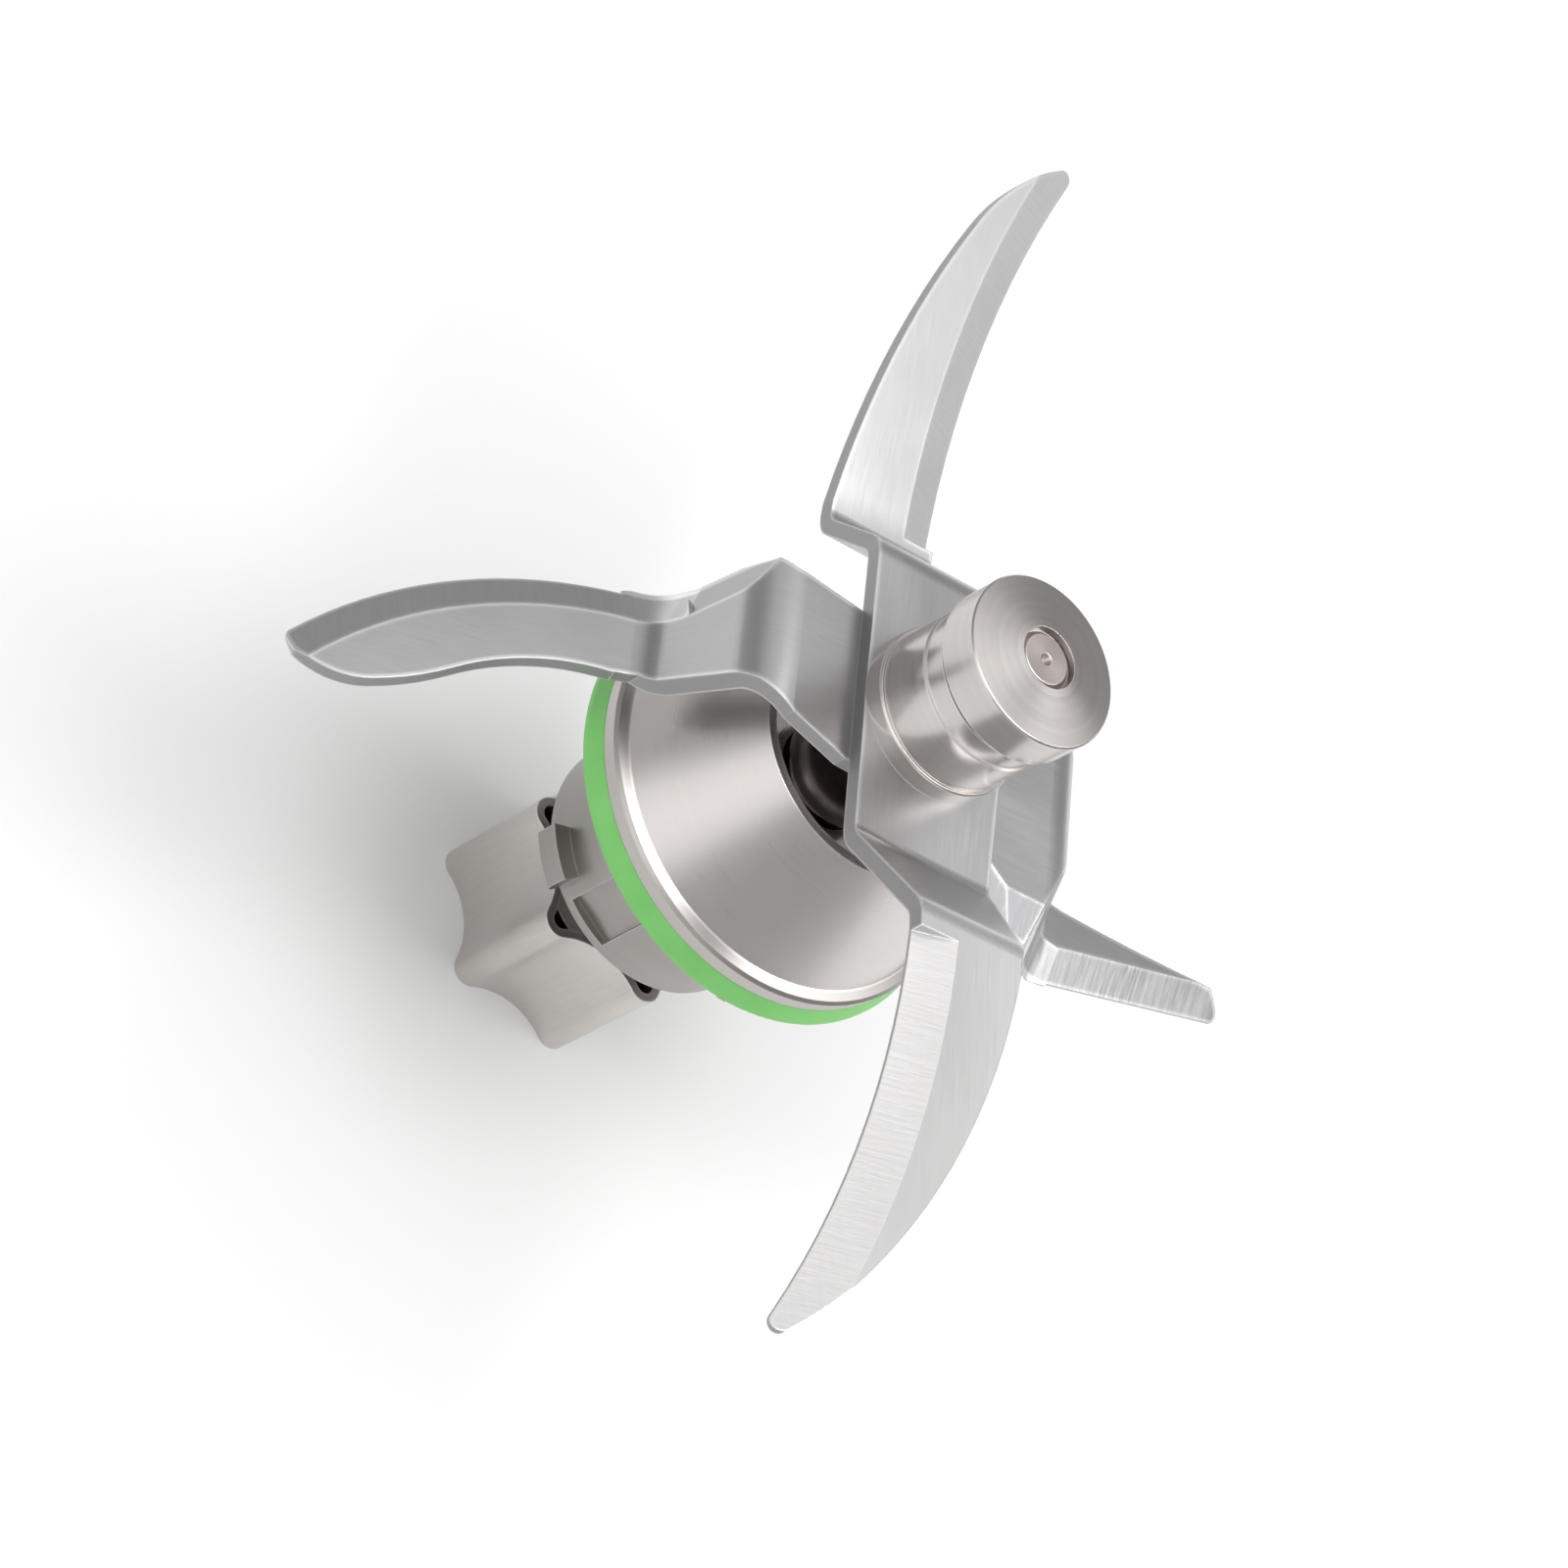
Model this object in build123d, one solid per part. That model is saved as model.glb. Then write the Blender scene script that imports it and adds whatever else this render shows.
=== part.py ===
from build123d import *
from math import cos, hypot, pi, radians, sin
import os

os.makedirs("parts", exist_ok=True)

# All sizes in millimetres. The shaft stands on +Z and the foot of the drive coupling is at z = 0.
# Seen from above, +X is the right arm of the lower strip and +Y the dropping arm of the upper one.

# How far a cutting shape reaches past what it cuts, and how near counts as the same place
over = 1.0
same_place = 0.001

# Drive shaft
shaft_r = 2.5
shaft_foot_z = 4.5
shaft_tail = 0.8
shaft_tip_chamfer = 0.35
shaft_end_gap = 0.35
centre_drill_r = 0.55
centre_drill_depth = 0.7
drive_flat = 2.05
drive_flat_run_in = 1.2

# Lock nut, washer and the plug that carries the star tube
nut_flats = 8.0
nut_height = 2.7
nut_chamfer_r = 4.35
nut_chamfer_slope = 0.6
washer_r = 4.6
washer_thickness = 0.5
plug_thickness = 4.7
plug_r = 8.9
plug_boss_r = 3.7

# Star-shaped drive coupling
star_length = 14.0
star_lobes = 6
star_lobe_reach = 11.4
star_valley_r = 8.6
star_lobe_r = 1.6
star_wall = 0.8
star_turn = 45.0

# Bayonet collar with its lugs and keyways
collar_foot_z = 17.0
collar_r = 11.6
collar_lip = 0.8
collar_lip_r = 8.9
collar_flange_overlap = 0.7
collar_flange_height = 1.0
collar_foot_chamfer = 0.5
lug_count = 3
lug_reach = 13.2
lug_root_depth = 1.3
lug_foot_lift = 0.2
lug_height = 3.1
lug_angle = 201.0
lug_spread = 22.0
lug_ramp = 0.7
keyway_angle = 231.0
keyway_width = 4.6
keyway_depth = 0.8
keyway_lift = 1.4

# Turned cone housing
spigot_r = 9.8
bore_r = 8.0
seal_seat_r = 14.6
flange_r = 18.5
flange_foot_z = 34.5
flange_height = 1.6
flange_edge = 0.3
cone_foot_r = 17.3
cone_top_r = 11.1
cone_top_z = 46.9
recess_mouth_r = 10.3
recess_floor_r = 8.7
recess_fillet = 0.8
shoulder_height = 0.8
shoulder_clearance = 0.45

# Green seal ring
seal_ring_height = 2.6
seal_ring_reach = 19.1
seal_ring_edge_z = 33.0
seal_ring_foot_width = 1.0
seal_ring_edge_height = 0.7
seal_ring_round = 0.23

# Ball bearings
bearing_r = 8.0
bearing_width = 5.0
inner_race_r = 4.1
outer_race_r = 6.4
ball_r = 1.5
ball_count = 7
ball_clearance = 0.05
cage_thickness = 1.4
cage_overhang = 0.35
shield_thickness = 0.3
shield_inset = 0.1
shield_gap = 0.1
race_chamfer = 0.3

# Sleeves, circlip and shaft seal
spacer_length = 6.6
spacer_wall = 1.0
circlip_lift = 0.7
circlip_thickness = 0.8
circlip_bite = 0.6
circlip_depth = 1.5
circlip_gap = 26.0
shaft_seal_height = 3.6
shaft_seal_gap = 0.2
shaft_seal_web = 1.1
shaft_seal_wall = 1.2
lip_clearance = 0.05
lip_root_r = 5.2
lip_edge_height = 0.55
lip_fold = 0.35
garter_r = 0.45

# Sleeve under the blades
sleeve_neck_r = 4.2
sleeve_body_r = 5.2
sleeve_seat_r = 6.3
sleeve_seat_height = 2.4

# Blade strips
blade_thickness = 1.5
blade_top_z = 54.6
upper_bend_r = 1.6
lower_bend_r = 3.0
bevel_land = 0.3
blade_tip_r = 0.7

# A grinding cut reaches this many bevel widths past the edge, and two cuts of a bevel overlap a little
wheel_reach = 3
cut_overlap = 0.25

# Knife hub
hub_base_r = 7.36
hub_base_height = 1.9
hub_neck_r = 6.95
hub_ridge_r = 6.75
hub_ridge_lift = 6.6
hub_groove_r = 6.3
hub_groove_height = 0.6
hub_cap_r = 7.4
hub_cap_lift = 9.4
hub_cap_height = 3.6
hub_dome_height = 0.75
hub_mouth_r = 2.66
hub_mouth_depth = 0.8
hub_edge = 0.15

# Heights that follow from the stack on the shaft
nut_z = shaft_foot_z + shaft_tail
washer_z = nut_z + nut_height
plug_z = washer_z + washer_thickness
plug_top_z = plug_z + plug_thickness
spigot_foot_z = collar_foot_z + collar_lip
circlip_z = spigot_foot_z + circlip_lift
lower_bearing_z = circlip_z + circlip_thickness
spacer_z = lower_bearing_z + bearing_width
upper_bearing_z = spacer_z + spacer_length
sleeve_z = upper_bearing_z + bearing_width
shaft_seal_z = sleeve_z + shaft_seal_gap
shoulder_z = shaft_seal_z + shaft_seal_height
recess_floor_z = shoulder_z + shoulder_height
flange_top_z = flange_foot_z + flange_height
seal_ring_z = flange_foot_z - seal_ring_height
collar_flange_r = seal_seat_r + collar_flange_overlap
upper_blade_z = blade_top_z - blade_thickness
lower_blade_z = upper_blade_z - blade_thickness
hub_top_z = blade_top_z + hub_cap_lift + hub_cap_height
hub_mouth_z = hub_top_z + hub_dome_height
shaft_top_z = hub_mouth_z - shaft_end_gap
pitch_r = (inner_race_r + outer_race_r) / 2


def turned(*profile):
    """Solid of revolution about the shaft from (radius, height) points."""
    outline = Polyline(*profile, close=True)
    return revolve(Plane.XZ * make_face(outline.edges()), Axis.Z)


def ring(inner, outer, foot, height):
    """Plain ring with square edges."""
    return turned((inner, foot), (outer, foot), (outer, foot + height), (inner, foot + height))


def around(count, start):
    """Angles of equally spaced features about the shaft."""
    return [start + 360.0 / count * step for step in range(count)]


def polar(radius, angle, height=0.0):
    return (radius * cos(radians(angle)), radius * sin(radians(angle)), height)


def star_outline(inset):
    """Outline of the star tube: round lobes joined by concave flutes, moved inwards by inset."""
    half_step = 180.0 / star_lobes
    lobe_centre = star_lobe_reach - star_lobe_r
    along = lobe_centre * cos(radians(half_step))
    across = lobe_centre * sin(radians(half_step))
    flute_r = ((star_valley_r - along) ** 2 + across**2 - star_lobe_r**2) / (
        2 * (star_lobe_r - star_valley_r + along)
    )
    flute_centre = star_valley_r + flute_r
    share = (star_lobe_r - inset) / (star_lobe_r + flute_r)
    edges = []
    for angle in around(star_lobes, star_turn):
        lobe = Vector(*polar(lobe_centre, angle))
        before = Vector(*polar(flute_centre, angle - half_step))
        after = Vector(*polar(flute_centre, angle + half_step))
        following = Vector(*polar(lobe_centre, angle + 2 * half_step))
        lobe_start = lobe + (before - lobe) * share
        lobe_end = lobe + (after - lobe) * share
        next_start = following + (after - following) * share
        crest = Vector(*polar(star_lobe_reach - inset, angle))
        valley = Vector(*polar(star_valley_r - inset, angle + half_step))
        edges.append(ThreePointArc(lobe_start, crest, lobe_end))
        edges.append(ThreePointArc(lobe_end, valley, next_start))
    return make_face(edges)


def make_drive_coupling():
    shell = star_outline(0.0) - star_outline(star_wall)
    return extrude(shell, amount=star_length)


def make_coupling_hub():
    """Plug that seats on the flutes of the star, with a boss up to the lower bearing."""
    plug = extrude(Circle(plug_r) & star_outline(star_wall), amount=plug_thickness)
    boss = ring(0.0, plug_boss_r, plug_z, lower_bearing_z - plug_z)
    body = Pos(0, 0, plug_z) * plug + boss
    return body - ring(0.0, shaft_r, plug_z - over, star_length + bearing_width)


def make_lock_washer():
    return ring(shaft_r, washer_r, washer_z, washer_thickness)


def make_lock_nut():
    prism = extrude(RegularPolygon(nut_flats / 2, 6, major_radius=False), amount=nut_height)
    crown = turned(
        (0, nut_z),
        (nut_chamfer_r, nut_z),
        (nut_flats, nut_z + nut_chamfer_slope * (nut_flats - nut_chamfer_r)),
        (nut_flats, nut_z + nut_height),
        (0, nut_z + nut_height),
    )
    body = (Pos(0, 0, nut_z) * prism) & crown
    return body - ring(0.0, shaft_r, nut_z - over, nut_height + 2 * over)


def make_drive_shaft():
    """Turned shaft with two drive flats under the hub and a centre-drill dimple in its top."""
    body = turned(
        (0, shaft_foot_z),
        (shaft_r - shaft_tip_chamfer, shaft_foot_z),
        (shaft_r, shaft_foot_z + shaft_tip_chamfer),
        (shaft_r, shaft_top_z - shaft_tip_chamfer),
        (shaft_r - shaft_tip_chamfer, shaft_top_z),
        (centre_drill_r, shaft_top_z),
        (0, shaft_top_z - centre_drill_depth),
    )
    flat_height = blade_top_z + drive_flat_run_in - lower_blade_z
    for side in (1, -1):
        slab = Box(2 * shaft_r, shaft_r, flat_height, align=(Align.CENTER, Align.CENTER, Align.MIN))
        body -= Pos(0, side * (drive_flat + shaft_r / 2), lower_blade_z) * slab
    return body


def make_cone_housing():
    """One turned piece: spigot, seal seat, flange, cone and the open recess round the sleeve."""
    body = turned(
        (bore_r, spigot_foot_z),
        (spigot_r, spigot_foot_z),
        (spigot_r, seal_ring_z),
        (seal_seat_r, seal_ring_z),
        (seal_seat_r, flange_foot_z),
        (flange_r, flange_foot_z),
        (flange_r, flange_top_z - flange_edge),
        (flange_r - flange_edge, flange_top_z),
        (cone_foot_r, flange_top_z + flange_edge),
        (cone_top_r, cone_top_z),
        (recess_mouth_r, cone_top_z),
        (recess_floor_r, recess_floor_z),
        (sleeve_neck_r + shoulder_clearance, recess_floor_z),
        (sleeve_neck_r + shoulder_clearance, shoulder_z),
        (bore_r, shoulder_z),
    )
    floor_edge = body.edges().filter_by(GeomType.CIRCLE).filter_by(
        lambda edge: abs(edge.radius - recess_floor_r) < same_place
    )
    body = fillet(floor_edge, recess_fillet)
    return body - ring(0.0, bore_r + circlip_bite, circlip_z, circlip_thickness)


def make_bayonet_collar():
    """Sleeve pressed on the spigot: locking lugs with lead-in ramps and three milled keyways."""
    body = turned(
        (collar_lip_r, collar_foot_z),
        (collar_r - collar_foot_chamfer, collar_foot_z),
        (collar_r, collar_foot_z + collar_foot_chamfer),
        (collar_r, seal_ring_z - collar_flange_height),
        (collar_flange_r, seal_ring_z - collar_flange_height),
        (collar_flange_r, seal_ring_z),
        (spigot_r, seal_ring_z),
        (spigot_r, spigot_foot_z),
        (collar_lip_r, spigot_foot_z),
    )
    lug_z = collar_foot_z + lug_foot_lift
    lug_profile = Polyline(
        (collar_r - lug_root_depth, lug_z),
        (lug_reach - lug_ramp, lug_z),
        (lug_reach, lug_z + lug_ramp),
        (lug_reach, lug_z + lug_height),
        (collar_r - lug_root_depth, lug_z + lug_height),
        close=True,
    )
    lug = revolve(Plane.XZ * make_face(lug_profile.edges()), Axis.Z, revolution_arc=lug_spread)
    keyway_z = collar_foot_z + keyway_lift
    keyway_height = seal_ring_z - collar_flange_height - keyway_z
    keyway = Box(
        2 * keyway_depth,
        keyway_width,
        keyway_height,
        align=(Align.CENTER, Align.CENTER, Align.MIN),
    )
    for angle in around(lug_count, lug_angle):
        body += Rot(0, 0, angle - lug_spread / 2) * lug
    for angle in around(lug_count, keyway_angle):
        body -= Rot(0, 0, angle) * Pos(collar_r, 0, keyway_z) * keyway
    return body


def make_seal_ring():
    """Soft ring in the groove between flange and collar, with a rounded outer lip."""
    outline = make_face(
        Polyline(
            (seal_seat_r, seal_ring_z),
            (seal_seat_r + seal_ring_foot_width, seal_ring_z),
            (seal_ring_reach, seal_ring_edge_z - seal_ring_edge_height),
            (seal_ring_reach, seal_ring_edge_z),
            (flange_r, flange_foot_z),
            (seal_seat_r, flange_foot_z),
            close=True,
        ).edges()
    )
    lip = outline.vertices().filter_by(lambda vertex: vertex.X > seal_ring_reach - same_place)
    return revolve(Plane.XZ * fillet(lip, seal_ring_round), Axis.Z)


def ball_groove(foot):
    """Torus that the balls sweep, with their running clearance."""
    circle = Pos(pitch_r, foot + bearing_width / 2) * Circle(ball_r + ball_clearance)
    return revolve(Plane.XZ * circle, Axis.Z)


def make_outer_race(foot):
    top = foot + bearing_width
    body = turned(
        (outer_race_r, foot),
        (bearing_r - race_chamfer, foot),
        (bearing_r, foot + race_chamfer),
        (bearing_r, top - race_chamfer),
        (bearing_r - race_chamfer, top),
        (outer_race_r, top),
    )
    return body - ball_groove(foot)


def make_inner_race(foot):
    return ring(shaft_r, inner_race_r, foot, bearing_width) - ball_groove(foot)


def ball_centres(foot):
    return [polar(pitch_r, angle, foot + bearing_width / 2) for angle in around(ball_count, 0.0)]


def make_balls(foot):
    return Compound(children=[Pos(*centre) * Sphere(ball_r) for centre in ball_centres(foot)])


def make_cage(foot):
    """Ring with one round pocket for each ball."""
    height = 2 * (ball_r + ball_clearance + cage_overhang)
    middle = foot + bearing_width / 2
    body = ring(pitch_r - cage_thickness / 2, pitch_r + cage_thickness / 2, middle - height / 2, height)
    pocket = Cylinder(ball_r + ball_clearance, 2 * cage_thickness)
    for angle in around(ball_count, 0.0):
        body -= Rot(0, 0, angle) * Pos(pitch_r, 0, middle) * Rot(0, 90, 0) * pocket
    return body


def make_shield(foot):
    return ring(inner_race_r + shield_gap, outer_race_r, foot, shield_thickness)


def make_inner_spacer():
    return ring(shaft_r, shaft_r + spacer_wall, spacer_z, spacer_length)


def make_outer_spacer():
    return ring(bore_r - spacer_wall, bore_r, spacer_z, spacer_length)


def make_bearing_circlip():
    """Open spring ring in the groove of the bore."""
    body = ring(bore_r + circlip_bite - circlip_depth, bore_r + circlip_bite, circlip_z, circlip_thickness)
    gap_width = 2 * bore_r * sin(radians(circlip_gap / 2))
    gap = Box(bearing_r, gap_width, circlip_thickness, align=(Align.CENTER, Align.CENTER, Align.MIN))
    return body - Pos(bore_r, 0, circlip_z) * gap


def make_shaft_seal():
    """Rubber lip seal: outer wall in the bore, web on top, lip leaning on the sleeve."""
    top = shoulder_z
    lip_r = sleeve_neck_r + lip_clearance
    return turned(
        (bore_r - shaft_seal_wall, shaft_seal_z),
        (bore_r, shaft_seal_z),
        (bore_r, top),
        (lip_root_r, top),
        (lip_r, top - shaft_seal_web + lip_edge_height),
        (lip_r, top - shaft_seal_web),
        (lip_r + lip_edge_height, top - 2 * shaft_seal_web),
        (lip_root_r, top - 2 * shaft_seal_web),
        (lip_root_r + lip_fold, top - shaft_seal_web),
        (bore_r - shaft_seal_wall, top - shaft_seal_web),
    )


def make_garter_spring():
    """Closed coil spring in the fold behind the lip, drawn as its outer shape."""
    height = shoulder_z - shaft_seal_web - garter_r
    circle = Pos(lip_root_r + lip_fold + garter_r, height) * Circle(garter_r)
    return revolve(Plane.XZ * circle, Axis.Z)


def make_blade_collar():
    """Stepped sleeve that runs in the lip seal and carries the two strips."""
    step_z = recess_floor_z + shoulder_height
    return turned(
        (shaft_r, sleeve_z),
        (sleeve_neck_r, sleeve_z),
        (sleeve_neck_r, step_z),
        (sleeve_body_r, step_z + sleeve_body_r - sleeve_neck_r),
        (sleeve_body_r, lower_blade_z - sleeve_seat_height),
        (sleeve_seat_r, lower_blade_z - sleeve_seat_height),
        (sleeve_seat_r, lower_blade_z),
        (shaft_r, lower_blade_z),
    )


def make_knife_hub():
    """Turned hub: base ring, two-step neck, undercut and a cap with a low conical top."""
    groove_z = blade_top_z + hub_cap_lift - hub_groove_height
    ridge_z = blade_top_z + hub_ridge_lift
    return turned(
        (shaft_r, blade_top_z),
        (hub_base_r, blade_top_z),
        (hub_base_r, blade_top_z + hub_base_height - hub_edge),
        (hub_base_r - hub_edge, blade_top_z + hub_base_height),
        (hub_neck_r, blade_top_z + hub_base_height),
        (hub_neck_r, ridge_z),
        (hub_ridge_r, ridge_z + hub_edge),
        (hub_ridge_r, groove_z - hub_edge),
        (hub_groove_r, groove_z),
        (hub_groove_r, groove_z + hub_groove_height),
        (hub_cap_r, groove_z + hub_groove_height),
        (hub_cap_r, hub_top_z - hub_edge),
        (hub_cap_r - hub_edge, hub_top_z),
        (hub_mouth_r, hub_mouth_z),
        (hub_mouth_r, hub_mouth_z - hub_mouth_depth),
        (shaft_r, hub_mouth_z - hub_mouth_depth),
    )


def below(points, depth):
    """Path parallel to (reach, height) points, moved by depth to its right-hand side."""
    normals = []
    for start, end in zip(points[:-1], points[1:]):
        run, rise = end[0] - start[0], end[1] - start[1]
        length = hypot(run, rise)
        normals.append((rise / length, -run / length))
    ends = [normals[0]]
    for first, second in zip(normals[:-1], normals[1:]):
        share = 1 + first[0] * second[0] + first[1] * second[1]
        ends.append(((first[0] + second[0]) / share, (first[1] + second[1]) / share))
    ends.append(normals[-1])
    return [(p[0] + depth * n[0], p[1] + depth * n[1]) for p, n in zip(points, ends)]


def bend_radii(points, turning_down, turning_up):
    """Radius at each corner of a path: one for a fold downwards, one for a fold upwards."""
    radii = []
    for start, corner, end in zip(points[:-2], points[1:-1], points[2:]):
        cross = (corner[0] - start[0]) * (end[1] - corner[1]) - (corner[1] - start[1]) * (end[0] - corner[0])
        radii.append(turning_down if cross < 0 else turning_up)
    return radii


def smooth_chain(points, heading):
    """Arcs that join the points in turn, each starting in the direction in which the last one ended."""
    tangent = Vector(cos(radians(heading)), sin(radians(heading)))
    arcs = []
    for start, end in zip(points[:-1], points[1:]):
        arcs.append(TangentArc(start, end, tangent=tangent))
        tangent = arcs[-1] % 1
    return arcs


def grinding_section(ridge, edge):
    """Triangle that a grinding wheel removes between the ridge of a bevel and past its edge."""
    depth = blade_thickness - bevel_land
    run = edge - ridge
    past_edge = edge + wheel_reach * run
    below = -(wheel_reach + 1) * depth
    return Polyline((ridge - run, depth), (past_edge, below), (past_edge, depth), close=True)


def straight_grinding(start, end, width):
    """Bar that a wheel grinds off a flat top face at height 0, along an edge seen from above."""
    edge = Line(start, end)
    direction = edge % 0
    outwards = direction.cross(Vector(0, 0, 1))
    section = make_face(grinding_section(-width, 0.0).edges())
    return extrude(Plane(origin=edge @ 1, x_dir=outwards, z_dir=-direction) * section, amount=edge.length)


class Arm:
    """One arm of a strip. It runs out along +X, and -Y is its ground side."""

    def __init__(self, fold, bend_r, root, back, heading, edge, bevel_width, leg_flare=None, shoulder=()):
        self.fold = fold
        self.bend_r = bend_r
        self.root = root
        self.back = back
        self.heading = heading
        self.edge = edge
        self.bevel_width = bevel_width
        self.leg_flare = leg_flare
        self.shoulder = shoulder

    def side(self):
        """Folded sheet seen from the side, as far as the flat outer blade."""
        low = below(self.fold, blade_thickness)
        outer_r = self.bend_r + blade_thickness
        top = FilletPolyline(*self.fold, radius=bend_radii(self.fold, outer_r, self.bend_r))
        foot = FilletPolyline(*low, radius=bend_radii(self.fold, self.bend_r, outer_r))
        ends = [Line(self.fold[-1], low[-1]), Line(low[0], self.fold[0])]
        return Plane.XZ * make_face([*top.edges(), *foot.edges(), *ends])

    def blade_plane(self):
        """Plane of the outer blade's top face, with its origin at the end of the fold."""
        (last_x, last_z), (end_x, end_z) = self.fold[-2:]
        direction = Vector(end_x - last_x, 0, end_z - last_z)
        return Plane(origin=(end_x, 0, end_z), x_dir=direction, z_dir=direction.cross(Vector(0, 1, 0)))

    def folded_part(self):
        """Flat root and folds, with the bevels that are ground on them."""
        reach = 2 * max(abs(width) for _, width in self.root)
        sheet = extrude(self.side(), amount=reach, both=True)
        outline = make_face(Polyline(*self.root, close=True).edges())
        body = sheet & extrude(outline, amount=2 * blade_top_z)
        if self.leg_flare is not None:
            body -= self.leg_grinding()
        for start, end, width in self.shoulder:
            body -= Pos(0, 0, self.fold[0][1]) * straight_grinding(start, end, width)
        return body

    def leg_grinding(self):
        """Bevel ground down the steep leg and round its foot. It runs out over the upper bend."""
        upper, lower, end = self.fold[1:]
        run, rise = lower[0] - upper[0], lower[1] - upper[1]
        leg = hypot(run, rise)
        edge_y = self.edge[0][1]
        outwards = Vector(run, 0, rise)
        leg_plane = Plane(origin=(lower[0], 0, lower[1]), x_dir=outwards, z_dir=outwards.cross(Vector(0, 1, 0)))
        leg_foot = -self.bend_r
        bar = straight_grinding(
            (-2 * leg, edge_y - 2 * self.leg_flare), (leg_foot, edge_y), self.bevel_width
        )
        share = (leg_foot - cut_overlap) / leg
        start = (lower[0] + run * share, lower[1] + rise * share)
        path = FilletPolyline(start, lower, end, radius=[self.bend_r])
        section = make_face(grinding_section(edge_y + self.bevel_width, edge_y).edges())
        first = Plane(origin=(start[0], 0, start[1]), x_dir=(0, 1, 0), z_dir=outwards)
        return leg_plane * bar + sweep(first * section, path=Plane.XZ * path)

    def blade(self):
        """Flat outer blade, ground along its edge, with a small round at the tip."""
        edge = ThreePointArc(*self.edge) if len(self.edge) == 3 else Line(*self.edge)
        outline = [
            Line(self.edge[0], self.back[0]),
            *smooth_chain(self.back, self.heading),
            Line(self.back[-1], self.edge[-1]),
            edge,
        ]
        face = make_face(outline)
        tip = face.vertices().sort_by(Axis.X)[-2:]
        body = extrude(fillet(tip, blade_tip_r), amount=-blade_thickness)
        return self.blade_plane() * (body - self.edge_grinding())

    def edge_grinding(self):
        """Bar along a straight cutting edge, or ring about the centre of a round one."""
        if len(self.edge) == 2:
            start, end = Vector(*self.edge[0]), Vector(*self.edge[1])
            run_out = (end - start).normalized() * self.bevel_width
            return straight_grinding(start - run_out, end + run_out, self.bevel_width)
        arc = ThreePointArc(*self.edge)
        centre = arc.arc_center
        inwards = self.bevel_width if centre.Y > self.edge[1][1] else -self.bevel_width
        section = grinding_section(arc.radius - inwards, arc.radius)
        wheel = revolve(Plane.XZ * make_face(section.edges()), Axis.Z)
        return Pos(centre.X, centre.Y, 0) * wheel

    def solid(self):
        return self.folded_part() + self.blade()


def make_strip(first, second, turn, foot):
    """Two arms folded from one strip, with the double-flat hole for the shaft."""
    body = Rot(0, 0, turn) * first.solid() + Rot(0, 0, turn + 180) * second.solid()
    hole = Circle(shaft_r) & Rectangle(2 * shaft_r, 2 * drive_flat)
    return body - Pos(0, 0, foot) * extrude(hole, amount=blade_thickness)


strip_half_width = 7.3
drop_arm = Arm(
    fold=[(0, blade_top_z), (14.2, blade_top_z), (20.2, 46.3), (22.0, 46.53)],
    bend_r=upper_bend_r,
    root=[
        (0, strip_half_width),
        (13.2, strip_half_width),
        (20.6, 6.6),
        (22.6, 6.6),
        (22.6, -4.5),
        (20.6, -4.5),
        (14.0, -7.0),
        (0, -strip_half_width),
    ],
    back=[(0, 6.6), (33.5, -3.2), (43.6, -11.8)],
    heading=-7.5,
    edge=[(0, -4.5), (23.2, -6.9), (43.8, -13.4)],
    bevel_width=3.3,
)
rise_arm = Arm(
    fold=[(0, blade_top_z), (13.4, blade_top_z), (22.4, 63.0), (24.6, 63.16)],
    bend_r=upper_bend_r,
    root=[
        (0, strip_half_width),
        (13.2, 7.0),
        (23.6, 3.9),
        (25.2, 3.9),
        (25.2, -6.3),
        (23.0, -6.3),
        (13.4, -7.0),
        (0, -strip_half_width),
    ],
    back=[(0, 3.9), (30.0, -9.5), (37.2, -16.7)],
    heading=-9.5,
    edge=[(0, -6.3), (25.0, -12.3), (37.3, -18.4)],
    bevel_width=3.7,
)
hook_arm = Arm(
    fold=[(0, upper_blade_z), (16.4, upper_blade_z), (20.0, 42.0), (22.6, 41.19)],
    bend_r=lower_bend_r,
    root=[
        (0, 6.8),
        (7.5, 6.5),
        (13.0, 4.6),
        (16.0, 2.4),
        (20.6, 0.1),
        (23.2, 0.4),
        (23.2, -7.85),
        (20.6, -8.8),
        (17.4, -9.8),
        (14.0, -8.5),
        (7.4, -7.6),
        (0, -strip_half_width),
    ],
    back=[(0, 0.4), (13.1, 4.1), (19.4, 7.1), (25.8, 6.2)],
    heading=-2.0,
    edge=[(0, -7.85), (15.2, -3.92), (26.7, 4.6)],
    bevel_width=2.9,
    leg_flare=2.0,
)
straight_arm = Arm(
    fold=[(0, upper_blade_z), (16.8, upper_blade_z), (24.0, 41.0), (27.0, 40.4)],
    bend_r=lower_bend_r,
    root=[
        (0, 6.8),
        (7.5, 6.6),
        (16.8, 5.7),
        (25.0, -1.5),
        (27.6, -1.5),
        (27.6, -8.3),
        (24.4, -9.0),
        (14.4, -14.6),
        (11.2, -14.0),
        (9.0, -12.4),
        (3.0, -strip_half_width),
        (0, -strip_half_width),
    ],
    back=[(0, -1.5), (22.8, 1.4)],
    heading=5.5,
    edge=[(0, -8.3), (25.7, -0.75)],
    bevel_width=3.1,
    leg_flare=0.0,
    shoulder=[((6.5, -14.3), (20.0, -14.3), 3.5), ((7.0, -11.0), (14.0, -16.1), 2.0)],
)

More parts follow.
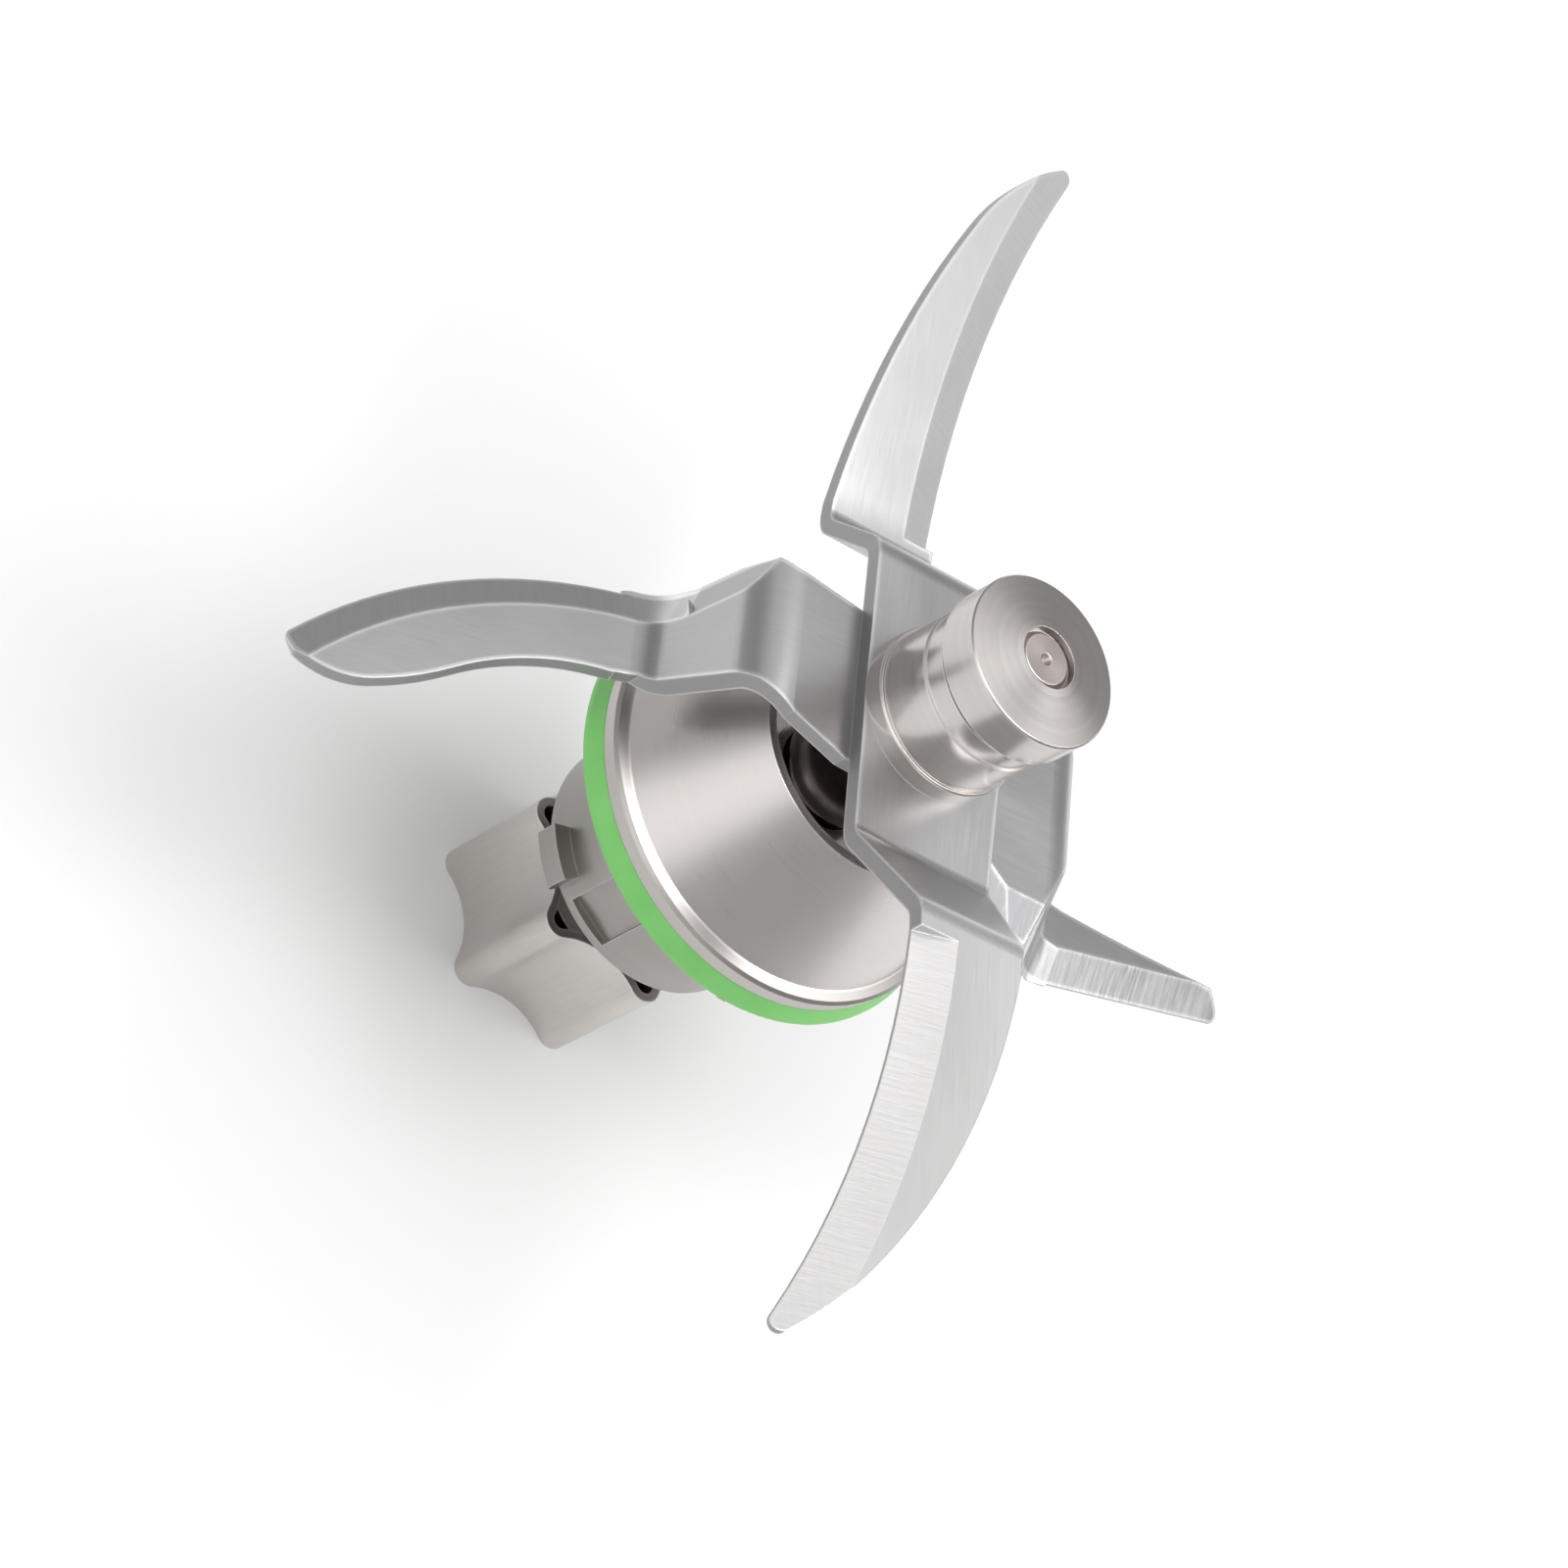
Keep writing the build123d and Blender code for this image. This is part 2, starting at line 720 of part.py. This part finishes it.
pieces = {
    "drive_coupling": make_drive_coupling(),
    "coupling_hub": make_coupling_hub(),
    "lock_washer": make_lock_washer(),
    "lock_nut": make_lock_nut(),
    "drive_shaft": make_drive_shaft(),
    "cone_housing": make_cone_housing(),
    "bayonet_collar": make_bayonet_collar(),
    "seal_ring": make_seal_ring(),
    "inner_spacer": make_inner_spacer(),
    "outer_spacer": make_outer_spacer(),
    "bearing_circlip": make_bearing_circlip(),
    "shaft_seal": make_shaft_seal(),
    "garter_spring": make_garter_spring(),
    "blade_collar": make_blade_collar(),
    "knife_hub": make_knife_hub(),
    "upper_blade": make_strip(drop_arm, rise_arm, 90, upper_blade_z),
    "lower_blade": make_strip(straight_arm, hook_arm, 0, lower_blade_z),
}
for name, foot, shield_z in (
    ("lower_bearing", lower_bearing_z, lower_bearing_z + shield_inset),
    ("upper_bearing", upper_bearing_z, sleeve_z - shield_inset - shield_thickness),
):
    pieces[name + "_outer"] = make_outer_race(foot)
    pieces[name + "_inner"] = make_inner_race(foot)
    pieces[name + "_balls"] = make_balls(foot)
    pieces[name + "_cage"] = make_cage(foot)
    pieces[name + "_shield"] = make_shield(shield_z)

for name, piece in pieces.items():
    export_step(piece, f"parts/{name}.step")
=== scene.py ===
import math

import bpy
from mathutils import Matrix, Vector

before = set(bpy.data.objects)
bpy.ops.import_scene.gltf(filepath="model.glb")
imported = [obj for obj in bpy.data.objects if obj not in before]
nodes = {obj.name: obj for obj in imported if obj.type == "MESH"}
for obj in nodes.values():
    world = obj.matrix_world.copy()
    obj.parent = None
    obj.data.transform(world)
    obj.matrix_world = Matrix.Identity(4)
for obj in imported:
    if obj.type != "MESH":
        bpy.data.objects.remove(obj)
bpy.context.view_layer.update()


# The table: a wide sheet of pale paper. The unit stands upright on it, on the open foot
# of its star tube, as it would be set down on a bench.
floor_half = 3.0
paper_tone = 0.84

mesh = bpy.data.meshes.new("floor")
corners = [(-floor_half, -floor_half, 0), (floor_half, -floor_half, 0)]
corners += [(floor_half, floor_half, 0), (-floor_half, floor_half, 0)]
mesh.from_pydata(corners, [], [(0, 1, 2, 3)])
floor = bpy.data.objects.new("floor", mesh)
bpy.context.collection.objects.link(floor)

paper = bpy.data.materials.new("pale_paper")
paper.use_nodes = True
paper_shader = paper.node_tree.nodes["Principled BSDF"]
paper_shader.inputs["Base Color"].default_value = (paper_tone, paper_tone, paper_tone, 1.0)
paper_shader.inputs["Roughness"].default_value = 0.9
paper_shader.inputs["Specular IOR Level"].default_value = 0.1
mesh.materials.append(paper)


# The light: soft panels overhead, in front and at the right, under a white tent that is
# dimmest at half height, so turned metal shows clear streaks. Places and sides are in
# metres, and the tent's light is given by height.
top_panel = {"place": (0.22, -0.06, 1.1), "side": 0.8, "watts": 7.4}
front_panel = {"place": (-0.85, -0.4, 0.55), "side": 0.9, "watts": 2.3}
right_panel = {"place": (0.85, -0.15, 0.65), "side": 0.5, "watts": 1.6}
tent_light = ((0.0, 0.42), (0.25, 0.4), (0.5, 0.34), (0.8, 0.78), (1.0, 0.95))

for panel in (top_panel, front_panel, right_panel):
    lamp = bpy.data.lights.new("soft_panel", "AREA")
    lamp.shape = "SQUARE"
    lamp.size = panel["side"]
    lamp.energy = panel["watts"]
    hung = bpy.data.objects.new("soft_panel", lamp)
    bpy.context.collection.objects.link(hung)
    hung.location = panel["place"]
    hung.rotation_mode = "QUATERNION"
    hung.rotation_quaternion = (-Vector(panel["place"])).to_track_quat("-Z", "Y")

world = bpy.data.worlds.new("white_tent")
world.use_nodes = True
tent = world.node_tree
towards = tent.nodes.new("ShaderNodeTexCoord")
part_up = tent.nodes.new("ShaderNodeSeparateXYZ")
ramp = tent.nodes.new("ShaderNodeValToRGB")
for height, _ in tent_light[2:]:
    ramp.color_ramp.elements.new(height)
for element, (height, light) in zip(ramp.color_ramp.elements, tent_light):
    element.position = height
    element.color = (light, light, light, 1.0)
tent.links.new(towards.outputs["Generated"], part_up.inputs[0])
tent.links.new(part_up.outputs[2], ramp.inputs[0])
tent.links.new(ramp.outputs[0], tent.nodes["Background"].inputs["Color"])
bpy.context.scene.world = world
bpy.context.scene.view_settings.view_transform = "Standard"


# The camera looks down on the hub from the hooked arm's side. It is rolled, so that the
# shaft leans to the upper right and the upper strip runs up and down the picture.
camera_place = Vector((-0.1725, -0.168, 0.273))
camera_right = Vector((0.773, 0.0948, 0.6273))
camera_back = Vector((-0.5081, -0.4996, 0.7016))
lens_mm = 92.0
film_width_mm = 36.0
nearest_view = 0.01

camera = bpy.data.objects.new("camera", bpy.data.cameras.new("camera"))
bpy.context.collection.objects.link(camera)
camera.data.lens = lens_mm
camera.data.sensor_width = film_width_mm
camera.data.clip_start = nearest_view
turn = Matrix((camera_right, camera_back.cross(camera_right), camera_back)).transposed()
camera.matrix_world = Matrix.Translation(camera_place) @ turn.to_4x4()
bpy.context.scene.camera = camera


# Bayonet collar: the stainless neck that locks the unit in the floor of the jug.
# It is turned from bar with a thin flange, then its lugs and keyways are milled.
collar_dark = (0.22, 0.208, 0.198, 1.0)
collar_light = (0.52, 0.495, 0.475, 1.0)
turned_ring = 0.0003
rings_in_band = 14
turning_drift = 15
patches_per_metre = 220
edge_round = 0.00012
# Edges are painted brighter: partly wear, partly a painted highlight.
edge_wear_and_highlight_width = 0.0003
edge_wear_and_highlight = 0.3
blunt_turn = 0.002
sharp_turn = 0.06


class Value:
    """A shader socket that takes part in sums: each sum adds its own Math node."""

    def __init__(self, finish, socket):
        self.finish = finish
        self.socket = socket

    def __add__(self, other):
        return self.finish.math("ADD", self, other)

    def __radd__(self, other):
        return self.finish.math("ADD", other, self)

    def __sub__(self, other):
        return self.finish.math("SUBTRACT", self, other)

    def __rsub__(self, other):
        return self.finish.math("SUBTRACT", other, self)

    def __mul__(self, other):
        return self.finish.math("MULTIPLY", self, other)

    def __rmul__(self, other):
        return self.finish.math("MULTIPLY", other, self)

    def __truediv__(self, other):
        return self.finish.math("DIVIDE", self, other)

    def __abs__(self):
        return self.finish.math("ABSOLUTE", self)


class Finish:
    """A node material for one finish. Constant sockets of its shader are set straight on it."""

    def __init__(self, name, **constants):
        self.material = bpy.data.materials.new(name)
        self.material.use_nodes = True
        self.tree = self.material.node_tree
        self.shader = self.tree.nodes["Principled BSDF"]
        self.set(**constants)

    def set(self, **inputs):
        """Gives the shader's sockets their values or links, named with underscores."""
        for name, value in inputs.items():
            self.join(value, self.shader.inputs[name.replace("_", " ")])

    def join(self, value, socket):
        if isinstance(value, Value):
            self.tree.links.new(value.socket, socket)
        else:
            socket.default_value = value

    def node(self, kind, settings=None, inputs=None, output=0):
        """Adds any node: its settings first, then its sockets' values or links."""
        made = self.tree.nodes.new(kind)
        for name, value in (settings or {}).items():
            setattr(made, name, value)
        for name, value in (inputs or {}).items():
            self.join(value, made.inputs[name])
        if output is None:
            return [Value(self, socket) for socket in made.outputs]
        return Value(self, made.outputs[output])

    def math(self, operation, *terms):
        return self.node("ShaderNodeMath", {"operation": operation}, dict(enumerate(terms)))

    def place(self):
        """Point on the piece in metres, as three numbers in the piece's own frame."""
        point = self.node("ShaderNodeTexCoord", output="Object")
        return self.node("ShaderNodeSeparateXYZ", inputs={0: point}, output=None)

    def grain(self, x, y, z, detail=2.0, roughness=0.5):
        """Noise from 0 to 1 at a point whose unit is one grain."""
        point = self.node("ShaderNodeCombineXYZ", inputs={0: x, 1: y, 2: z})
        noise = {"Vector": point, "Scale": 1.0, "Detail": detail, "Roughness": roughness}
        return self.node("ShaderNodeTexNoise", inputs=noise)

    def slope(self, value, start, end):
        """Runs smoothly from 0 to 1 while the value runs from start to end."""
        limits = {"Value": value, "From Min": start, "From Max": end}
        return self.node("ShaderNodeMapRange", {"interpolation_type": "SMOOTHSTEP"}, limits)

    def blend(self, share, first, second):
        """Colour between two colours."""
        colours = {0: share, 6: first, 7: second}
        return self.node("ShaderNodeMix", {"data_type": "RGBA"}, colours, output=2)

    def edges(self, width, sharp=sharp_turn):
        """Edge mask for wear and painted highlight: 0 on the faces, 1 on a sharp edge where two
        faces meet within a width.
        """
        rounded = self.node("ShaderNodeBevel", {"samples": 6}, {"Radius": width})
        flat = self.node("ShaderNodeNewGeometry", output="Normal")
        dot = {"operation": "DOT_PRODUCT"}
        match = self.node("ShaderNodeVectorMath", dot, {0: rounded, 1: flat}, output=1)
        return self.slope(1 - match, blunt_turn, sharp)

    def relief(self, height, depth, rounding=edge_round):
        """Rounds the edges and raises a relief of a depth in metres on the surface."""
        rounded = self.node("ShaderNodeBevel", {"samples": 4}, {"Radius": rounding})
        bump = {"Height": height, "Distance": depth, "Strength": 1.0, "Normal": rounded}
        self.set(Normal=self.node("ShaderNodeBump", inputs=bump))

    def paint(self, *names):
        for name in names:
            nodes[name].data.materials.clear()
            nodes[name].data.materials.append(self.material)


def turned_metal(
    name, dark, light, roughness, ring=turned_ring, streak=0.6, ring_share=0.12, cut=0.0000005
):
    """Metal cut on a lathe: fine rings about the shaft, soft patches and brighter edges, partly
    wear and partly painted highlight.
    """
    finish = Finish(name, Metallic=1.0, Anisotropic=streak)
    x, y, z = finish.place()
    radius = finish.math("SQRT", x * x + y * y)
    band = ring * rings_in_band
    rings = finish.grain(radius / ring, z / ring, x * turning_drift)
    bands = finish.grain(radius / band, z / band, y * turning_drift)
    patches = finish.grain(*[part * patches_per_metre for part in (x, y, z)], detail=3.0)
    tone = 0.5 + (rings - 0.5) * ring_share + (bands - 0.5) * 0.12
    tone = tone + (patches - 0.5) * 0.12 + finish.edges(edge_wear_and_highlight_width) * edge_wear_and_highlight
    finish.colour = finish.blend(tone, dark, light)
    finish.set(Base_Color=finish.colour)
    finish.set(Roughness=roughness + (rings - 0.5) * 0.04 + (patches - 0.5) * 0.03)
    finish.relief(rings, cut)
    return finish


milled_steel = turned_metal(
    "milled_collar_steel", collar_dark, collar_light, roughness=0.36, streak=0.4
)
milled_steel.paint("bayonet_collar")


# Cone housing: the stainless body round the shaft, turned in one piece with its flange,
# its bearing bore and the open recess. Its spigot is pressed into the collar, and its
# flange is painted darker than the cone: painted shade that dims the light it reflects.
cone_dark = (0.45, 0.425, 0.408, 1.0)
cone_light = (0.9, 0.857, 0.83, 1.0)
cone_ring = 0.0005
flange_starts = 0.0173
flange_step = 0.0003
flange_painted_shade = 0.85

cone = turned_metal(
    "cone_steel", cone_dark, cone_light, roughness=0.28, ring=cone_ring, streak=0.7,
    ring_share=0.04, cut=0.00000015,
)
x, y, z = cone.place()
radius = cone.math("SQRT", x * x + y * y)
# Painted shade: the flange is painted darker to dim its reflection.
flange_shade_share = cone.slope(radius, flange_starts, flange_starts + flange_step)
cone.set(Base_Color=cone.blend(flange_shade_share * flange_painted_shade, cone.colour, cone_dark))
cone.paint("cone_housing")


# Seal ring: a green silicone moulding, stretched over the collar and pinched under the
# flange. It seals the unit in the jug and shows the fine grain of its mould.
green_shade = (0.15, 0.53, 0.11, 1.0)
green_bloom = (0.235, 0.64, 0.185, 1.0)
mould_grains_per_metre = 3000
dust_per_metre = 300
mould_relief = 0.00001
soft_edge = 0.0002

silicone = Finish("green_silicone")
place = silicone.place()
mould = silicone.grain(*[part * mould_grains_per_metre for part in place])
dust = silicone.grain(*[part * dust_per_metre for part in place], detail=3.0)
silicone.set(Base_Color=silicone.blend(dust, green_shade, green_bloom))
silicone.set(Roughness=0.45 + (dust - 0.5) * 0.2)
silicone.relief(mould, mould_relief, soft_edge)
silicone.paint("seal_ring")


# Ball bearings: an upper and a lower one, with races of hardened steel ground bright,
# polished balls, cages of pressed brass and a pressed steel shield.
race_dark = (0.4, 0.4, 0.41, 1.0)
race_light = (0.75, 0.75, 0.76, 1.0)
race_ring = 0.00025
ball_dark = (0.62, 0.62, 0.64, 1.0)
ball_light = (0.78, 0.78, 0.8, 1.0)
brass_dark = (0.46, 0.29, 0.09, 1.0)
brass_light = (0.78, 0.56, 0.24, 1.0)
clouds_per_metre = 350


def plain_metal(name, dark, light, roughness, grain, depth):
    """Pressed, drawn or polished metal: an even grain, soft clouds and brighter edges, partly
    wear and partly painted highlight.
    """
    finish = Finish(name, Metallic=1.0)
    place = finish.place()
    fine = finish.grain(*[part / grain for part in place], detail=3.0)
    clouds = finish.grain(*[part * clouds_per_metre for part in place], detail=3.0)
    tone = 0.5 + (fine - 0.5) * 0.3 + (clouds - 0.5) * 0.4
    tone = tone + finish.edges(edge_wear_and_highlight_width) * edge_wear_and_highlight
    finish.set(Base_Color=finish.blend(tone, dark, light))
    finish.set(Roughness=roughness * (0.6 + clouds * 0.8) + (fine - 0.5) * 0.05)
    finish.relief(fine, depth)
    return finish


ground_race = turned_metal(
    "ground_race_steel", race_dark, race_light, roughness=0.14, ring=race_ring, streak=0.3
)
pressed_shield = turned_metal(
    "pressed_shield_steel", race_dark, race_light, roughness=0.26, ring=race_ring, streak=0.1
)
polished_ball = plain_metal(
    "polished_ball_steel", ball_dark, ball_light, roughness=0.07, grain=0.0002, depth=0.0000002
)
pressed_brass = plain_metal(
    "pressed_brass", brass_dark, brass_light, roughness=0.3, grain=0.0002, depth=0.000004
)
for bearing in ("upper_bearing", "lower_bearing"):
    ground_race.paint(bearing + "_outer", bearing + "_inner")
    pressed_shield.paint(bearing + "_shield")
    polished_ball.paint(bearing + "_balls")
    pressed_brass.paint(bearing + "_cage")


# Spacers: two sleeves cut from aluminium tube and faced on the lathe. They hold the
# bearings apart, one between the outer races and one between the inner races.
aluminium_dark = (0.58, 0.58, 0.59, 1.0)
aluminium_light = (0.86, 0.86, 0.87, 1.0)

aluminium = turned_metal("faced_aluminium", aluminium_dark, aluminium_light, roughness=0.35)
aluminium.paint("inner_spacer", "outer_spacer")


# Circlip: a ring of spring steel, stamped and blackened, that snaps into the groove in
# the bore and holds the stack of bearings from below.
blackened_dark = (0.05, 0.05, 0.055, 1.0)
blackened_light = (0.2, 0.2, 0.21, 1.0)

blackened_steel = plain_metal(
    "blackened_spring_steel", blackened_dark, blackened_light, roughness=0.36,
    grain=0.00015, depth=0.000005,
)
blackened_steel.paint("bearing_circlip")


# Shaft seal: a lip of rubber, moulded in one with its seat and pressed into the
# floor of the recess. It keeps what is in the jug out of the bearings.
# Its tones are partly the rubber's own and partly painted light: lifted to a lighter brown for
# the light reflected into the recess.
rubber_dark_with_painted_light = (0.09, 0.062, 0.045, 1.0)
rubber_bloom_with_painted_light = (0.22, 0.16, 0.12, 1.0)
bloom_per_metre = 400
skin_grains_per_metre = 4000
skin_relief = 0.000012

rubber = Finish("rubber_with_painted_light")
place = rubber.place()
bloom = rubber.grain(*[part * bloom_per_metre for part in place], detail=3.0)
skin = rubber.grain(*[part * skin_grains_per_metre for part in place])
rubber.set(Base_Color=rubber.blend(bloom, rubber_dark_with_painted_light, rubber_bloom_with_painted_light))
rubber.set(Roughness=0.42 + bloom * 0.2)
rubber.relief(skin, skin_relief)
rubber.paint("shaft_seal")


# Garter spring: fine steel wire wound in a close coil, its ends hooked together in a ring.
# It lies in the groove of the seal and draws the lip on to the sleeve.
garter_turns = 150
# The gaps between turns are painted dark: painted shade between the wires.
painted_shade_between_turns = (0.18, 0.18, 0.19, 1.0)
wire_light = (0.72, 0.72, 0.74, 1.0)
wire_relief = 0.00006

garter = Finish("coiled_wire", Metallic=1.0)
x, y, z = garter.place()
around = garter.math("ARCTAN2", y, x)
wire = garter.slope(garter.math("SINE", around * garter_turns), -1.0, 0.6)
# Painted shade between the turns, with the wire's own colour on each turn.
garter.set(Base_Color=garter.blend(wire, painted_shade_between_turns, wire_light))
garter.set(Roughness=0.3 - wire * 0.08)
garter.relief(wire, wire_relief)
garter.paint("garter_spring")


# Drive shaft: a bar of stainless steel ground to fit the bearings. Its upper end has the
# dimple of the lathe's centre drill, and its lower end a cut thread for the nut.
shaft_dark = (0.33, 0.29, 0.28, 1.0)
shaft_light = (0.8, 0.73, 0.7, 1.0)
thread_pitch = 0.0008
thread_top = 0.0083
thread_runout = 0.0002
thread_depth = 0.00022
inside_flank = 0.0021
on_flank = 0.0023

shaft = turned_metal(
    "ground_shaft_steel", shaft_dark, shaft_light, roughness=0.34, streak=0.3, ring_share=0.3
)
x, y, z = shaft.place()
around = shaft.math("ARCTAN2", y, x)
helix = shaft.math("SINE", around + z * (math.tau / thread_pitch))
radius = shaft.math("SQRT", x * x + y * y)
flank = shaft.slope(radius, inside_flank, on_flank)
threaded = shaft.slope(z, thread_top + thread_runout, thread_top) * flank
shaft.relief(helix * threaded, thread_depth)
shaft.paint("drive_shaft")


# Blade collar: the stepped steel sleeve on which the lower strip rests. It passes through
# the lip of the seal and bears on the inner race, so it is turned and then polished.
sleeve = turned_metal(
    "polished_sleeve_steel", cone_dark, cone_light, roughness=0.22, streak=0.8
)
sleeve.paint("blade_collar")


# Blade strips: two strips of stainless sheet, crossed on the shaft. Each is blanked, bent
# at its middle and ground to a bevel on its cutting edges, with marks across the bevel.
strip_dark = (0.25, 0.25, 0.256, 1.0)
strip_light = (0.97, 0.96, 0.955, 1.0)
sheared_tone = 0.08
rolled_line = 0.00012
rolled_run = 0.004
grinding_line = 0.0004
grinding_run = 0.004
grinding_relief = 0.000006
layers_per_metre = 100
strip_clouds_per_metre = 90
arm_change = 0.001
arm_reach = 0.024
bevel_lean = (0.13, 0.24)
bevel_facing_up = (0.2, 0.4)
sheared_facing_up = (0.3, 0.12)
# The bright line along the ridges between flats and bevels is a painted highlight.
ridge_highlight_width = 0.0006
ridge_highlight_turn = 0.012
ridge_highlight_strength = 0.45


def ground_strip(
    name, run, side, ground_side, root, outer, inner_bevel, bevel, marks, painted_light_start
):
    """Rolled strip with brushed flats and ground bevels. Each arm's flats and bevels are
    painted lighter or darker as painted light and shade. Pairs are for its + and its - arm.
    """
    finish = Finish(name, Metallic=1.0, Anisotropic=0.3)
    place = finish.place()
    along, across, height = place[run], place[side], place[2]
    layer = height * layers_per_metre
    normal = finish.node("ShaderNodeTexCoord", output="Normal")
    facing = finish.node("ShaderNodeSeparateXYZ", inputs={0: normal}, output=None)
    plus = finish.slope(along, -arm_change, arm_change)

    def by_arm(pair):
        return pair[1] + plus * (pair[0] - pair[1])

    to_edge = facing[side] * (plus * 2 - 1) * ground_side
    ground = finish.slope(to_edge, *bevel_lean) * finish.slope(facing[2], *bevel_facing_up)
    sheared = finish.slope(abs(facing[2]), *sheared_facing_up)
    painted_light_share = finish.slope(abs(along), painted_light_start, arm_reach)

    brushed = finish.grain(across / rolled_line, along / rolled_run, layer, detail=3.0)
    cloud = [part * strip_clouds_per_metre for part in (across, along, height)]
    clouds = finish.grain(*cloud, detail=3.0)
    lines = finish.grain(along / grinding_line, across / grinding_run, layer, 4.0, 0.6)

    # Painted light and shade: the outer part of each arm's flats and bevels is painted lighter
    # or darker.
    flat_tone = root + (by_arm(outer) - root) * painted_light_share
    flat_tone = flat_tone + (brushed - 0.5) * 0.12 + (clouds - 0.5) * 0.1
    inner_tone = by_arm(inner_bevel)
    bevel_tone = inner_tone + (by_arm(bevel) - inner_tone) * painted_light_share
    bevel_tone = bevel_tone + (lines - 0.5) * by_arm(marks)
    face_tone = flat_tone + (bevel_tone - flat_tone) * ground
    # Painted highlight along the ridges; the sheared sides' edges get wear and painted
    # highlight.
    ridge_highlight = finish.edges(ridge_highlight_width, ridge_highlight_turn) * (1 - sheared)
    highlight_and_edge_wear = ridge_highlight + finish.edges(edge_wear_and_highlight_width) * sheared
    tone = face_tone + (sheared_tone - face_tone) * sheared + highlight_and_edge_wear * ridge_highlight_strength
    finish.set(Base_Color=finish.blend(tone, strip_dark, strip_light))

    dullness = 0.28 + (brushed - 0.5) * 0.1 + clouds * 0.06
    finish.set(Roughness=dullness + ground * 0.08 + sheared * 0.12)
    finish.relief(brushed + (lines * 3 - brushed) * ground, grinding_relief)
    return finish


# The tones by arm are painted light and shade: outer, inner_bevel and bevel give each arm its
# painted lightness.
lower_strip = ground_strip(
    "lower_strip_steel", run=0, side=1, ground_side=-1.0, root=0.36, outer=(0.5, 0.24),
    inner_bevel=(-0.1, 0.6), bevel=(0.36, 0.34), marks=(0.9, 0.15), painted_light_start=0.014,
)
lower_strip.paint("lower_blade")
upper_strip = ground_strip(
    "upper_strip_steel", run=1, side=0, ground_side=1.0, root=0.4, outer=(0.76, 1.02),
    inner_bevel=(0.9, 1.05), bevel=(0.92, 1.05), marks=(0.15, 0.4), painted_light_start=0.0205,
)
upper_strip.paint("upper_blade")


# Knife hub: the grooved cap that is driven on to the shaft and clamps the two strips.
# It is turned from stainless bar and faced, so its top shows a fan of light.
hub_dark = (0.36, 0.34, 0.325, 1.0)
hub_light = (0.8, 0.76, 0.735, 1.0)
hub_ring = 0.0005

hub = turned_metal(
    "faced_hub_steel", hub_dark, hub_light, roughness=0.19, ring=hub_ring, streak=0.88,
    ring_share=0.25,
)
hub.paint("knife_hub")


# Drive coupling: a length of star-shaped tube in stainless sheet, drawn, sawn and
# deburred. A turned plug is pressed into its upper end and carries it on the shaft.
star_dark = (0.44, 0.412, 0.4, 1.0)
star_light = (0.88, 0.835, 0.812, 1.0)
draw_line = 0.00015
draw_run = 0.004
draw_relief = 0.000004
star_clouds_per_metre = 150

plug = turned_metal("turned_plug_steel", cone_dark, cone_light, roughness=0.34)
plug.paint("coupling_hub")

star = Finish("drawn_star_steel", Metallic=1.0, Anisotropic=0.2)
x, y, z = star.place()
drawn = star.grain(x / draw_line, y / draw_line, z / draw_run, detail=3.0)
clouds = star.grain(*[part * star_clouds_per_metre for part in (x, y, z)], detail=3.0)
tone = 0.5 + (drawn - 0.5) * 0.25 + (clouds - 0.5) * 0.25
tone = tone + star.edges(edge_wear_and_highlight_width) * edge_wear_and_highlight
star.set(Base_Color=star.blend(tone, star_dark, star_light))
star.set(Roughness=0.34 + (drawn - 0.5) * 0.12 + (clouds - 0.5) * 0.1)
star.relief(drawn, draw_relief, soft_edge)
star.paint("drive_coupling")


# Lock washer and nut: a punched spring washer and a hexagon nut, both of zinc-plated
# steel with a cool bluish tint. The nut is tightened last and holds the plug.
zinc_dark = (0.4, 0.42, 0.45, 1.0)
zinc_light = (0.72, 0.74, 0.77, 1.0)

plated = plain_metal(
    "zinc_plate", zinc_dark, zinc_light, roughness=0.3, grain=0.0003, depth=0.000006
)
plated.paint("lock_washer", "lock_nut")
